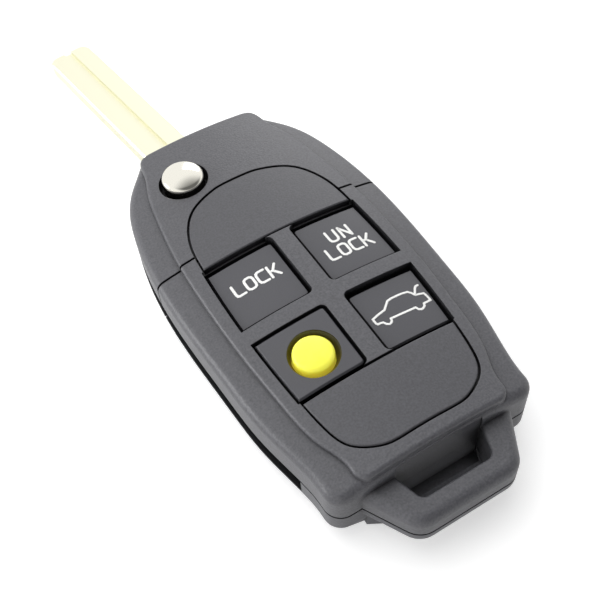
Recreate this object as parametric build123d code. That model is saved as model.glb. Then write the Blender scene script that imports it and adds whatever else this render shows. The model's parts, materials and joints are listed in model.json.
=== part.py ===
from build123d import *
import os
from math import cos, radians, sin, sqrt

# Flip key remote shell, in millimetres.
# x runs across the face, y along it towards the blade, z up from the flat back.
# The origin is under the centre of the key cross, on the back face.

os.makedirs("parts", exist_ok=True)

# Outer form
BODY_THICK = 14.2            # back face to the top of the crown
CROWN_ACROSS_R = 81.0        # crown radius across the body
CROWN_ALONG_R = 473.0        # crown radius along the body
CROWN_SWEEP = 16.0           # degrees that the crown's section is swept along
SPLIT_DROP = 7.5             # crown top down to the parting plane
FRONT_Y = 40.4               # flat front of the head
TAIL_Y = -25.4               # end wall beside the key-ring loop
SHOULDER_STEP = 0.9          # raised face down to the shoulder
SHOULDER_ROUND = 1.4         # soft outer edge of the shoulder
FACE_ROUND = 0.6             # soft edge of the raised face
BACK_STEP = 0.9              # height of the raised back
BACK_ROUND = 0.5
LIP_EDGE = 0.25              # upright edge of the lower shell under the blade slot
PARTING_GAP = 0.35           # shadow line between upper and lower shells
PARTING_DEEP = 0.6

# Shoulder outline, right half, tail corner to front corner
# Both outlines use the same stations along y, so the underside lofts smoothly.
SHOULDER_TAIL_HALF = 12.9
SHOULDER_TAIL_CORNER = (15.35, -22.9)
SHOULDER_SIDE = [(15.9, -18.0), (17.35, -10.5), (17.95, -3.0), (18.55, 9.0), (18.25, 20.0),
                 (17.2, 27.0), (15.4, 33.0), (13.6, 36.0), (11.0, 39.1)]
SHOULDER_FRONT_HALF = 8.3

# Raised face outline, right half
FACE_TAIL_Y = -25.0
FACE_TAIL_HALF = 9.4
FACE_TAIL_CORNER = (11.25, -23.1)
FACE_SIDE = [(12.6, -18.0), (13.85, -10.5), (14.45, -3.0), (14.75, 9.0), (14.25, 20.0),
             (13.3, 27.0), (12.0, 33.0), (11.0, 36.0), (10.35, 39.1)]
FACE_FRONT_HALF = 8.0

# Walls
CEILING_DROP = 2.9           # crown top down to the flat ceiling over the keys
SIDE_WALL = 0.9              # from the raised outline in to the cavity
END_WALL = 1.3
FLOOR_WALL = 1.8

# Joint between head and remote module
SEAM_Y = 16.4
SEAM_GAP = 0.36
RAIL_WIDE = 2.6
RAIL_THICK = 2.8
RAIL_LONG = 7.4
RAIL_X = (1.4, 9.4)          # left edge of each rail
RAIL_CLEAR = 0.1

# Key-ring loop
LOOP_END_Y = -32.4
LOOP_ROOT_HALF = 11.3
LOOP_END_HALF = 7.45
LOOP_CORNER = 3.2
LOOP_TOP_DROP = 4.3          # crown top down to the loop's top
LOOP_LOWER_THICK = 2.5       # parting plane down to the loop's underside
LOOP_TOP_ROUND = 1.4
LOOP_LOW_ROUND = 1.3
SLOT_Y = (-29.35, -25.15)    # key-ring slot, outer and inner edge
SLOT_HALF = (5.3, 6.5)       # half-widths at those edges
SLOT_CORNER = 1.2
SLOT_EDGE_ROUND = 0.4
RAMP_HALF = (10.6, 7.6)      # end wall that slopes out under the loop: root, foot
RAMP_TOP_DROP = 10.35
RAMP_FOOT_DROP = 11.6
RAMP_LEAN = 2.1

# Keys
KEY_OVAL_HALF = 12.3         # widest half-width of keys and trim panels
KEY_OVAL_Y = 4.0
KEY_OVAL_R = 167.0
WINDOW_MARGIN = 0.5          # window edge outside the key oval
BAR_V_HALF = 1.4             # upright bar of the cross
BAR_H = (-1.05, 1.35)        # level bar, lower and upper edge
CAP_GAP = 0.35               # caps stand this far inside their windows
CAP_TOP_GAP = 0.65           # and this far at the edge towards the blade
CAP_SINK = 0.7               # cap tops below the face
PAD_SINK = 0.12
CAP_FLANGE = 0.5             # hidden flange, past the window edge
CAP_FLANGE_CLEAR = 0.1
CAP_FLANGE_THICK = 0.8
CAP_EDGE = 0.25
WINDOW_CORNER = 0.9
CORNER_LEAST = 0.25
KEY_TRAVEL = 0.6
KEY_TRAVEL_CLEAR = 0.1       # left under a cap that is pressed home

# Fourth pad and its dome
DOME_XY = (-6.7, -7.0)
DOME_R = 2.85
DOME_RISE = 1.05             # top of the dome above its pad
DOME_WALL = 0.45             # upright part of the dome above the pad
DIMPLE_R = 3.65
DIMPLE_DEEP = 1.1
DOME_CLEAR = 0.12
DOME_FLANGE_R = 3.5
DOME_FLANGE_THICK = 0.7

# Trim panels
TRIM_THICK = 1.0
TRIM_GROOVE = 0.3
TRIM_SEAT = 0.03
TRIM_EDGE = 0.15
UPPER_TRIM_Y = 13.65         # edge along the keys
UPPER_TRIM_SIDE = [(11.55, 18.2), (10.45, 21.4), (8.0, 24.5), (4.0, 26.2)]
UPPER_TRIM_TOP_Y = 26.5
LOWER_TRIM_Y = -12.35
LOWER_TRIM_SIDE = [(10.85, -17.0), (9.6, -20.2), (6.9, -22.1)]
LOWER_TRIM_END_Y = -22.6
ARCH_TURN = (15, 35, 60, 85)  # outward direction at each point of an arch, in degrees

# Rubber key pad
MEMBRANE_THICK = 0.8
MEMBRANE_BOSS = 0.5
MEMBRANE_BOSS_R = 3.0
MEMBRANE_CLEAR = 0.1
MEMBRANE_END_Y = -14.0

# Blade
PIVOT = (-6.6, 31.0)
BLADE_LEAN = 7.3             # degrees short of fully open at rest
BLADE_TIP = 48.0             # from the pivot
BLADE_WIDE = 7.85
BLADE_THICK = 2.5
BLADE_OFFSET = 4.8           # centre line to the pivot
BLADE_SHOULDER = 7.0         # shoulder against the barrel, from the pivot
BLADE_TIP_ROUND = 1.7
BLADE_EDGE = 0.25
GROOVE_WIDE = 1.4
GROOVE_DEEP = 0.7
GROOVE_END = 15.0            # inner end, from the pivot
TANG_WIDE = 3.0
TANG_OFFSET = 5.0
TANG_END = -1.6
PIN_R = 0.6
PIN_ALONG = 1.6

# Blade slot
SLOT_CLEAR = 0.2             # above and below the blade
SLOT_SIDE_CLEAR = 0.2
SLOT_TAIL_Y = -18.2

# Turning barrel and button
BARREL_R = 6.8
BARREL_CLEAR = 0.05
BARREL_BELOW = 1.3           # barrel below the blade's underside
BARREL_ABOVE = 1.2           # barrel above the blade's top
BARREL_END_CLEAR = 0.1
SPRING_WELL_R = 2.95
CAP_DISC_R = 4.5
CAP_DISC_FIT = 0.05
CAP_DISC_SINK = 0.15
BUTTON_R = 3.2
BUTTON_WELL_R = 3.85
BUTTON_PROUD = 1.0           # dome top above the face
BUTTON_DOME = 1.15
BUTTON_WALL = 0.5
BUTTON_TRAVEL = 1.5
PLUNGER_FLANGE_R = 4.4
PLUNGER_FLANGE_THICK = 1.0
PLUNGER_ROOM_R = 4.7
PLUNGER_ROOM_TOP_DROP = 2.4  # face at the pivot down to the room's roof
PLUNGER_STEM_R = 1.5
PLUNGER_STEM_END_CLEAR = 0.9
PLUNGER_FIT = 0.1
SPRING_WIRE = 0.6
SPRING_FACETS = 6            # sides of the wire, kept few for a light mesh
SPRING_R = 2.25
SPRING_TURNS = 6
SPRING_END_CLEAR = 0.08

# Screws that hold the head together, under the upper trim panel
SCREW_XY = [(8.8, 21.2), (1.7, 18.9)]
SCREW_R = 0.85
SCREW_HEAD_R = 1.6
SCREW_HEAD_THICK = 1.0
SCREW_FIT = 0.05
SCREW_HEAD_EDGE = 0.2
SCREW_SEAT_DROP = 0.2        # extra depth of the head under the trim panel
SCREW_END_Z = 2.6
SCREW_BOSS_R = 2.1
SCREW_DRIVE = 0.35           # half-width of the cross recess

# Levels and places that follow
SPLIT_Z = BODY_THICK - SPLIT_DROP
LOOP_TOP_Z = BODY_THICK - LOOP_TOP_DROP
LOOP_LOW_Z = SPLIT_Z - LOOP_LOWER_THICK
BLADE_Z = SPLIT_Z - SLOT_CLEAR - BLADE_THICK
CHANNEL_Z = BLADE_Z - SLOT_CLEAR
CEILING_Z = BODY_THICK - CEILING_DROP
CAP_UNDER_Z = CEILING_Z - CAP_FLANGE_CLEAR - CAP_FLANGE_THICK
MEMBRANE_TOP_Z = CAP_UNDER_Z - KEY_TRAVEL - KEY_TRAVEL_CLEAR
MEMBRANE_Z = MEMBRANE_TOP_Z - MEMBRANE_BOSS - MEMBRANE_THICK
WINDOW_Y = (LOWER_TRIM_Y + TRIM_GROOVE, UPPER_TRIM_Y - TRIM_GROOVE)
BARREL_Z = BLADE_Z - BARREL_BELOW
BARREL_TOP_Z = BLADE_Z + BLADE_THICK + BARREL_ABOVE
SKY = 2.0 * BODY_THICK
BIG = 3.0 * (FRONT_Y - LOOP_END_Y)
EDGE_NEAR = 0.01             # how close an edge has to be to the level it is picked by


def crown_z(x, y):
    """Height of the crowned face at a point."""
    across = CROWN_ACROSS_R - sqrt(CROWN_ACROSS_R ** 2 - x ** 2)
    along = CROWN_ALONG_R - sqrt(CROWN_ALONG_R ** 2 - y ** 2)
    return BODY_THICK - across - along


def crown(drop=0.0):
    """Solid that fills everything under the crowned face, lowered by drop."""
    axis = Axis((0, 0, BODY_THICK - CROWN_ALONG_R), (1, 0, 0))
    section = Plane.XZ * Pos(0, BODY_THICK - CROWN_ACROSS_R) * Circle(CROWN_ACROSS_R)
    return Pos(0, 0, -drop) * revolve(section, axis, CROWN_SWEEP).rotate(axis, -CROWN_SWEEP / 2)


def block(x0, x1, y0, y1, z0, z1):
    """Box between two corners."""
    centre = Pos((x0 + x1) / 2, (y0 + y1) / 2, (z0 + z1) / 2)
    return centre * Box(x1 - x0, y1 - y0, z1 - z0)


def rod(x, y, r, z0, z1):
    """Upright cylinder between two heights."""
    return Pos(x, y, (z0 + z1) / 2) * Cylinder(r, z1 - z0)


def prism(face, z0, z1):
    """Flat face carried from one height to another."""
    return extrude(Pos(0, 0, z0) * face, z1 - z0)


def body_outline(tail_y, tail_half, corner, side, front_half, inset=0.0):
    """Closed outline of the body, alike on both sides, moved in by inset at the sides."""
    tail_x = tail_half - inset
    corner_at = (corner[0] - inset, corner[1])
    through = [(x - inset, y) for x, y in side]
    arc = TangentArc((tail_x, tail_y), corner_at, tangent=(1, 0))
    flank = Spline([arc @ 1] + through + [(front_half - inset, FRONT_Y)],
                   tangents=[arc % 1, (-1, 0)])
    right = Curve() + [arc, flank]
    left = mirror(right, Plane.YZ)
    tail = Line((-tail_x, tail_y), (tail_x, tail_y))
    front = Line(flank @ 1, (inset - front_half, FRONT_Y))
    return make_face([tail, front] + right.edges() + left.edges())


def shoulder_outline():
    """Widest outline of the body."""
    return body_outline(TAIL_Y, SHOULDER_TAIL_HALF, SHOULDER_TAIL_CORNER,
                        SHOULDER_SIDE, SHOULDER_FRONT_HALF)


def face_outline(inset=0.0):
    """Outline of the raised face, and of the raised back."""
    return body_outline(FACE_TAIL_Y, FACE_TAIL_HALF, FACE_TAIL_CORNER,
                        FACE_SIDE, FACE_FRONT_HALF, inset)


def oval_half(y):
    """Half-width of the oval that holds keys and trim panels."""
    return KEY_OVAL_HALF - KEY_OVAL_R + sqrt(KEY_OVAL_R ** 2 - (y - KEY_OVAL_Y) ** 2)


# Outer form above and below the parting plane

def upper_form():
    """Shoulder and raised face above the parting plane, as one block."""
    shoulder = prism(shoulder_outline(), SPLIT_Z, SKY) & crown(SHOULDER_STEP)
    shoulder_top = shoulder.faces().sort_by(Axis.Z)[-1]
    shoulder = fillet(shoulder_top.edges(), SHOULDER_ROUND)
    raised = prism(face_outline(), SPLIT_Z, SKY) & crown()
    raised_top = raised.faces().sort_by(Axis.Z)[-1]
    raised = fillet(raised_top.edges(), FACE_ROUND)
    return shoulder + raised


def lower_form():
    """Upright wall, sloping underside and raised flat back below the parting plane."""
    wall = prism(shoulder_outline(), CHANNEL_Z - LIP_EDGE, SPLIT_Z)
    top_ring = Pos(0, 0, CHANNEL_Z - LIP_EDGE) * shoulder_outline()
    low_ring = Pos(0, 0, BACK_STEP) * face_outline()
    under = loft([low_ring, top_ring], ruled=True)
    back = prism(face_outline(), 0, BACK_STEP)
    back = fillet(back.faces().sort_by(Axis.Z)[0].edges(), BACK_ROUND)
    foot_y = FACE_TAIL_Y - RAMP_LEAN
    ramp_side = make_face(Polyline(
        (TAIL_Y + END_WALL, BODY_THICK - RAMP_TOP_DROP),
        (SLOT_Y[1], BODY_THICK - RAMP_TOP_DROP),
        (foot_y, BODY_THICK - RAMP_FOOT_DROP),
        (foot_y, BACK_STEP),
        (TAIL_Y + END_WALL, BACK_STEP),
        close=True))
    root_half, foot_half = RAMP_HALF
    ramp_plan = make_face(Polyline(
        (-root_half, TAIL_Y + END_WALL), (-root_half, TAIL_Y), (-foot_half, foot_y),
        (foot_half, foot_y), (root_half, TAIL_Y), (root_half, TAIL_Y + END_WALL), close=True))
    ramp = extrude(Plane.YZ * ramp_side, root_half, both=True) & prism(ramp_plan, 0, SPLIT_Z)
    return wall + under + back + ramp


def parting_groove():
    """Shadow line round the outer wall, just under the parting plane."""
    low, high = SPLIT_Z - PARTING_GAP, SPLIT_Z + PARTING_GAP
    body = body_outline(TAIL_Y + PARTING_DEEP, SHOULDER_TAIL_HALF, SHOULDER_TAIL_CORNER,
                        SHOULDER_SIDE, SHOULDER_FRONT_HALF, PARTING_DEEP)
    around = block(-BIG, BIG, -BIG, FRONT_Y + PARTING_DEEP, low, high)
    return around - prism(body, low, high) - prism(loop_outline(PARTING_DEEP), low, high)


def loop_outline(inset=0.0):
    """Key-ring loop seen from above, moved in by inset, with a root inside the end wall."""
    root_half, end_half = LOOP_ROOT_HALF - inset, LOOP_END_HALF - inset
    end_y, inner_y = LOOP_END_Y + inset, TAIL_Y + END_WALL
    outline = FilletPolyline((-root_half, TAIL_Y), (-end_half, end_y), (end_half, end_y),
                             (root_half, TAIL_Y), radius=LOOP_CORNER - inset)
    root = Polyline((root_half, TAIL_Y), (root_half, inner_y),
                    (-root_half, inner_y), (-root_half, TAIL_Y))
    return make_face(outline.edges() + root.edges())


def loop_half(z0, z1, outer_round, round_top):
    """One half of the key-ring loop, with its soft outer edge."""
    ring = prism(loop_outline(), z0, z1)
    edge_z = z1 if round_top else z0
    soft = [e for e in ring.edges()
            if abs(e.center().Z - edge_z) < EDGE_NEAR and e.center().Y < TAIL_Y - EDGE_NEAR]
    return fillet(soft, outer_round)


def slot_cutter():
    """Key-ring slot, tapering a little towards the loop's end."""
    outer_y, inner_y = SLOT_Y
    outer_half, inner_half = SLOT_HALF
    path = FilletPolyline((-inner_half, inner_y), (-outer_half, outer_y),
                          (outer_half, outer_y), (inner_half, inner_y), radius=SLOT_CORNER)
    face = make_face(path.edges() + [Line((inner_half, inner_y), (-inner_half, inner_y))])
    return prism(face, CHANNEL_Z - BACK_STEP, SKY)


# Keys, windows and trim panels

def window_face(side, row, grow=0.0, top_gap=0.0, margin=WINDOW_MARGIN):
    """Window outline: side -1 or 1, row 1 towards the blade or -1, moved out by grow."""
    low, high = (BAR_H[1], WINDOW_Y[1]) if row > 0 else (WINDOW_Y[0], BAR_H[0])
    low, high = low - grow, high + grow - top_gap
    inner = BAR_V_HALF - grow
    centre_x = KEY_OVAL_HALF - KEY_OVAL_R
    oval = Pos(side * centre_x, KEY_OVAL_Y) * Circle(KEY_OVAL_R + margin + grow)
    width = 2.0 * KEY_OVAL_HALF
    strip = Pos(side * (inner + width / 2), (low + high) / 2) * Rectangle(width, high - low)
    face = strip & oval
    inner_corners = face.vertices().group_by(Axis.X)[0 if side > 0 else -1]
    return fillet(inner_corners, max(WINDOW_CORNER + grow, CORNER_LEAST))


def window_cutter(side, row):
    """Cut of one key window, from the ceiling's underside up."""
    return prism(window_face(side, row), CAP_UNDER_Z, SKY)


def key_cap(side, row):
    """Key cap with a crowned top, a soft edge and a flange that keeps it in its window."""
    gap_high = CAP_TOP_GAP - CAP_GAP
    body = prism(window_face(side, row, -CAP_GAP, gap_high), CAP_UNDER_Z, SKY)
    body = body & crown(CAP_SINK)
    body = chamfer(body.faces().sort_by(Axis.Z)[-1].edges(), CAP_EDGE)
    return body + cap_flange(side, row)


def cap_flange(side, row):
    """Hidden flange, wider than the window, that keeps a cap in the shell."""
    return prism(window_face(side, row, CAP_FLANGE), CAP_UNDER_Z, CAP_UNDER_Z + CAP_FLANGE_THICK)


def domed_rod(x, y, radius, low, top, rise):
    """Upright cylinder whose end is a shallow dome of the given rise."""
    ball_r = (radius ** 2 + rise ** 2) / (2 * rise)
    return rod(x, y, radius, low, top) & (Pos(x, y, top - ball_r) * Rot(0, 90, 0) * Sphere(ball_r))


def yellow_pad():
    """Fourth pad, nearly flush, with a round dimple and the well of its dome."""
    x, y = DOME_XY
    top = crown_z(x, y) - PAD_SINK
    body = prism(window_face(-1, -1, -CAP_GAP), CAP_UNDER_Z, SKY) & crown(PAD_SINK)
    body = chamfer(body.faces().sort_by(Axis.Z)[-1].edges(), CAP_EDGE)
    body += cap_flange(-1, -1)
    dish = Pos(x, y, top - DIMPLE_DEEP / 2) * Cone(DOME_R + DOME_CLEAR, DIMPLE_R, DIMPLE_DEEP)
    dish += rod(x, y, DIMPLE_R, top, SKY)
    well = rod(x, y, DOME_R + DOME_CLEAR, 0, SKY)
    room_top = CAP_UNDER_Z + DOME_FLANGE_THICK + 2 * DOME_CLEAR
    room = rod(x, y, DOME_FLANGE_R + DOME_CLEAR, 0, room_top)
    return body - dish - well - room


def yellow_dome():
    """Small round key: upright wall, domed top and hidden flange."""
    x, y = DOME_XY
    base = CAP_UNDER_Z + DOME_CLEAR
    top = crown_z(x, y) - PAD_SINK + DOME_RISE
    post = domed_rod(x, y, DOME_R, base, top, DOME_RISE - DOME_WALL)
    return post + rod(x, y, DOME_FLANGE_R, base, base + DOME_FLANGE_THICK)


def trim_face(edge_y, side, end_y, grow=0.0):
    """Panel outline: straight along the keys, then a soft arch on the centre line."""
    away = 1 if end_y > edge_y else -1
    start = (oval_half(edge_y) + grow, edge_y - away * grow)
    lean = -away * (edge_y - KEY_OVAL_Y) / KEY_OVAL_R
    through = [(x + grow * cos(radians(a)), y + away * grow * sin(radians(a)))
               for (x, y), a in zip(side, ARCH_TURN)]
    end = (0, end_y + away * grow)
    arch = Spline([start] + through + [end], tangents=[(lean, away), (-1, 0)])
    right = Curve() + [arch]
    left = mirror(right, Plane.YZ)
    base = Line((-start[0], start[1]), start)
    return make_face([base] + right.edges() + left.edges())


def trim_panel(edge_y, side, end_y):
    """Thin panel whose top follows the crowned face."""
    face = trim_face(edge_y, side, end_y)
    slab = prism(face, SPLIT_Z, SKY) & crown()
    slab = chamfer(slab.faces().sort_by(Axis.Z)[-1].edges(), TRIM_EDGE)
    return slab - crown(TRIM_THICK)


def trim_recess(edge_y, side, end_y):
    """Seat of a trim panel, with the groove round it."""
    face = trim_face(edge_y, side, end_y, TRIM_GROOVE)
    return prism(face, SPLIT_Z, SKY) - crown(TRIM_THICK + TRIM_SEAT)


def keypad_membrane():
    """Rubber sheet under the keys with one low boss for each."""
    inset = SIDE_WALL + MEMBRANE_CLEAR
    sheet = prism(face_outline(inset), MEMBRANE_Z, MEMBRANE_Z + MEMBRANE_THICK)
    sheet = sheet & block(-BIG, BIG, MEMBRANE_END_Y, SEAM_Y - END_WALL - MEMBRANE_CLEAR, 0, SKY)
    for side in (-1, 1):
        for row in (-1, 1):
            middle = window_face(side, row).center()
            sheet += rod(middle.X, middle.Y, MEMBRANE_BOSS_R, MEMBRANE_Z, MEMBRANE_TOP_Z)
    return sheet


# Blade and barrel, built with the pivot at the origin and the blade along +y

def turned(shape):
    """Puts a piece of the turning group at the pivot, at the blade's rest angle."""
    return Pos(PIVOT[0], PIVOT[1], 0) * Rot(0, 0, BLADE_LEAN) * shape


def key_blade():
    """Uncut blade: two round-nosed prongs along a central groove, and a narrow tang."""
    half = BLADE_WIDE / 2
    left, right = BLADE_OFFSET - half, BLADE_OFFSET + half
    top = BLADE_Z + BLADE_THICK
    bar = block(left, right, BLADE_SHOULDER, BLADE_TIP, BLADE_Z, top)
    bar = fillet(bar.edges().filter_by(Axis.Z).group_by(Axis.Y)[-1], BLADE_TIP_ROUND)
    bar = chamfer(bar.edges().filter_by(Axis.Y), BLADE_EDGE)
    g0, g1 = BLADE_OFFSET - GROOVE_WIDE / 2, BLADE_OFFSET + GROOVE_WIDE / 2
    for z0, z1 in ((BLADE_Z, BLADE_Z + GROOVE_DEEP), (top - GROOVE_DEEP, top)):
        bar -= block(g0, g1, GROOVE_END, BLADE_TIP, z0, z1)
        bar -= rod(BLADE_OFFSET, GROOVE_END, GROOVE_WIDE / 2, z0, z1)
    t0, t1 = TANG_OFFSET - TANG_WIDE / 2, TANG_OFFSET + TANG_WIDE / 2
    tang = block(t0, t1, TANG_END, BLADE_SHOULDER, BLADE_Z, top)
    return bar + tang - rod(TANG_OFFSET, PIN_ALONG, PIN_R, 0, SKY)


def blade_hub():
    """Turning barrel, hollow for the spring, slotted for the tang."""
    barrel = rod(0, 0, BARREL_R, BARREL_Z, BARREL_TOP_Z)
    barrel = chamfer(barrel.edges().filter_by(GeomType.CIRCLE), BLADE_EDGE)
    barrel -= rod(0, 0, SPRING_WELL_R, 0, SKY)
    t0, t1 = TANG_OFFSET - TANG_WIDE / 2, TANG_OFFSET + TANG_WIDE / 2
    barrel -= block(t0, t1, TANG_END, BIG, BLADE_Z, BLADE_Z + BLADE_THICK)
    return barrel - rod(TANG_OFFSET, PIN_ALONG, PIN_R, 0, SKY)


def roll_pin():
    """Pin through barrel and tang."""
    low, high = BARREL_Z + BLADE_EDGE, BARREL_TOP_Z - BLADE_EDGE
    pin = rod(TANG_OFFSET, PIN_ALONG, PIN_R, low, high)
    return pin - rod(TANG_OFFSET, PIN_ALONG, PIN_R / 2, low, high)


def blade_channel():
    """Room for the blade: the sweep of its shoulder, the open front left, the folded slot."""
    px, py = PIVOT
    half = BLADE_WIDE / 2
    reach = sqrt((BLADE_OFFSET + half) ** 2 + BLADE_SHOULDER ** 2) + SLOT_SIDE_CLEAR
    stop_x = px + BLADE_OFFSET + half + SLOT_SIDE_CLEAR
    fold_x = px - BLADE_OFFSET + half + SLOT_SIDE_CLEAR
    z0, z1 = CHANNEL_Z, SPLIT_Z
    room = rod(px, py, reach, z0, z1)
    room += block(px, stop_x, py, BIG, z0, z1)
    room += block(-BIG, px, py, BIG, z0, z1)
    room += block(-BIG, fold_x, SLOT_TAIL_Y, py, z0, z1)
    return room


# Release button group, on the pivot

def face_at_pivot():
    """Height of the face over the pivot."""
    return crown_z(*PIVOT)


def plunger_flange_z():
    """Underside of the plunger's flange."""
    roof = face_at_pivot() - PLUNGER_ROOM_TOP_DROP
    return roof - PLUNGER_FIT - PLUNGER_FLANGE_THICK


def release_button():
    """Domed cap, hollow, pressed over the plunger's neck."""
    x, y = PIVOT
    rim = plunger_flange_z() + PLUNGER_FLANGE_THICK
    top = face_at_pivot() + BUTTON_PROUD
    hat = domed_rod(x, y, BUTTON_R, rim, top, BUTTON_DOME)
    return hat - rod(x, y, BUTTON_R - BUTTON_WALL, rim, top - BUTTON_DOME - BUTTON_WALL)


def release_plunger():
    """Flanged stem that guides the button and carries the spring."""
    x, y = PIVOT
    under = plunger_flange_z()
    rim = under + PLUNGER_FLANGE_THICK
    neck_top = face_at_pivot() + BUTTON_PROUD - BUTTON_DOME - BUTTON_WALL - PLUNGER_FIT
    neck = rod(x, y, BUTTON_R - BUTTON_WALL - PLUNGER_FIT / 2, rim, neck_top)
    stem_low = BARREL_Z + BUTTON_TRAVEL + PLUNGER_STEM_END_CLEAR
    stem = rod(x, y, PLUNGER_STEM_R, stem_low, under)
    return rod(x, y, PLUNGER_FLANGE_R, under, rim) + neck + stem


def flip_spring():
    """Coil spring between the back cap and the plunger's flange."""
    low = BARREL_Z - BARREL_END_CLEAR + SPRING_END_CLEAR + SPRING_WIRE / 2
    high = plunger_flange_z() - SPRING_END_CLEAR - SPRING_WIRE / 2
    path = Helix((high - low) / SPRING_TURNS, high - low, SPRING_R)
    wire = Plane(path @ 0, z_dir=path % 0) * RegularPolygon(SPRING_WIRE / 2, SPRING_FACETS)
    return Pos(PIVOT[0], PIVOT[1], low) * sweep(wire, path)


def spring_cap():
    """Round cap that closes the pivot from the back."""
    x, y = PIVOT
    disc = rod(x, y, CAP_DISC_R, CAP_DISC_SINK, BARREL_Z - BARREL_END_CLEAR)
    return chamfer(disc.edges().group_by(Axis.Z)[0], BLADE_EDGE)


def case_screws():
    """Two screws with cross recesses, standing in the head's bosses."""
    group = []
    for x, y in SCREW_XY:
        seat = screw_seat(x, y)
        head = rod(x, y, SCREW_HEAD_R, seat, seat + SCREW_HEAD_THICK)
        head = chamfer(head.edges().group_by(Axis.Z)[-1], SCREW_HEAD_EDGE)
        screw = head + rod(x, y, SCREW_R, SCREW_END_Z, seat)
        for long, wide in ((SCREW_R, SCREW_DRIVE), (SCREW_DRIVE, SCREW_R)):
            screw -= block(x - long, x + long, y - wide, y + wide,
                           seat + SCREW_HEAD_THICK / 2, SKY)
        group.append(screw)
    return Compound(children=group)


def screw_seat(x, y):
    """Height that a screw head stands on, just under the trim panel."""
    under_trim = crown_z(x, y) - TRIM_THICK - TRIM_SEAT
    return under_trim - SCREW_SEAT_DROP - SCREW_HEAD_THICK


def screw_cutter(low_fit):
    """Holes of both screws with their counterbores."""
    cut = Part()
    for x, y in SCREW_XY:
        cut += rod(x, y, SCREW_R + low_fit, SCREW_END_Z - SCREW_FIT, SKY)
        cut += rod(x, y, SCREW_HEAD_R + 2 * SCREW_FIT, screw_seat(x, y), SKY)
    return cut


# Shells

def rails(clear=0.0):
    """Rails on the head that the remote module slides on."""
    low = CHANNEL_Z - RAIL_THICK / 2
    bars = Part()
    for x in RAIL_X:
        bars += block(x - clear, x + RAIL_WIDE + clear, SEAM_Y - RAIL_LONG - clear,
                      SEAM_Y + END_WALL, low - clear, low + RAIL_THICK + clear)
    return bars


def head_space():
    """Everything on the head's side of the joint."""
    return block(-BIG, BIG, SEAM_Y + SEAM_GAP / 2, BIG, -BIG, BIG)


def module_space():
    """Everything on the remote module's side of the joint."""
    return block(-BIG, BIG, -BIG, SEAM_Y - SEAM_GAP / 2, -BIG, BIG)


def head_upper_shell(form):
    """Upper half of the head: button well, barrel bearing and trim seat."""
    x, y = PIVOT
    roof = face_at_pivot() - PLUNGER_ROOM_TOP_DROP
    shell = form & head_space()
    shell -= trim_recess(UPPER_TRIM_Y, UPPER_TRIM_SIDE, UPPER_TRIM_TOP_Y)
    shell -= rod(x, y, BARREL_R + BARREL_CLEAR, 0, BARREL_TOP_Z + BARREL_END_CLEAR)
    shell -= rod(x, y, PLUNGER_ROOM_R, 0, roof)
    shell -= rod(x, y, BUTTON_WELL_R, 0, SKY)
    shell -= screw_cutter(SCREW_FIT)
    return shell


def head_lower_shell(form):
    """Lower half of the head: blade channel, barrel bearing, screw bosses and rails."""
    x, y = PIVOT
    shell = form & head_space()
    pocket = prism(face_outline(END_WALL), FLOOR_WALL, SPLIT_Z)
    wall_x = x + BLADE_OFFSET + BLADE_WIDE / 2 + SLOT_SIDE_CLEAR + END_WALL
    pocket = pocket & block(wall_x, BIG, SEAM_Y + SEAM_GAP + END_WALL, FRONT_Y - END_WALL, 0, SKY)
    for sx, sy in SCREW_XY:
        pocket -= rod(sx, sy, SCREW_BOSS_R, 0, SKY)
    shell -= pocket
    shell -= parting_groove()
    shell -= blade_channel()
    shell -= rod(x, y, BARREL_R + BARREL_CLEAR, BARREL_Z - BARREL_END_CLEAR, SPLIT_Z)
    shell -= rod(x, y, CAP_DISC_R + CAP_DISC_FIT, -BODY_THICK, SPLIT_Z)
    shell += rails() & block(-BIG, BIG, -BIG, SEAM_Y + END_WALL, 0, SPLIT_Z)
    return shell - screw_cutter(SCREW_FIT)


def remote_upper_shell(form):
    """Upper half of the module: key windows, cross bars and upper half of the loop."""
    shell = form & module_space()
    shell += loop_half(SPLIT_Z, LOOP_TOP_Z, LOOP_TOP_ROUND, True)
    cavity = prism(face_outline(SIDE_WALL), SPLIT_Z, CEILING_Z)
    cavity = cavity & block(-BIG, BIG, FACE_TAIL_Y + END_WALL, SEAM_Y - END_WALL, 0, SKY)
    shell -= cavity
    for side in (-1, 1):
        for row in (-1, 1):
            shell -= window_cutter(side, row)
    shell -= trim_recess(UPPER_TRIM_Y, UPPER_TRIM_SIDE, UPPER_TRIM_TOP_Y)
    shell -= trim_recess(LOWER_TRIM_Y, LOWER_TRIM_SIDE, LOWER_TRIM_END_Y)
    shell -= slot_cutter()
    rim = [e for e in shell.edges()
           if abs(e.center().Z - LOOP_TOP_Z) < EDGE_NEAR
           and SLOT_Y[0] - EDGE_NEAR < e.center().Y < SLOT_Y[1] - EDGE_NEAR
           and abs(e.center().X) < SLOT_HALF[1]]
    return fillet(rim, SLOT_EDGE_ROUND)


def remote_lower_shell(form):
    """Lower half of the module: folded blade's slot, pocket, rail slots and loop."""
    shell = form & module_space()
    shell += loop_half(LOOP_LOW_Z, SPLIT_Z, LOOP_LOW_ROUND, False)
    fold_x = PIVOT[0] - BLADE_OFFSET + BLADE_WIDE / 2 + SLOT_SIDE_CLEAR
    pocket = prism(face_outline(SIDE_WALL), FLOOR_WALL, SPLIT_Z)
    pocket = pocket & block(fold_x + END_WALL, BIG, FACE_TAIL_Y + END_WALL,
                            SEAM_Y - END_WALL, 0, SKY)
    shell -= pocket
    shell -= parting_groove()
    shell -= blade_channel()
    return shell - rails(RAIL_CLEAR) - slot_cutter()


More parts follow.
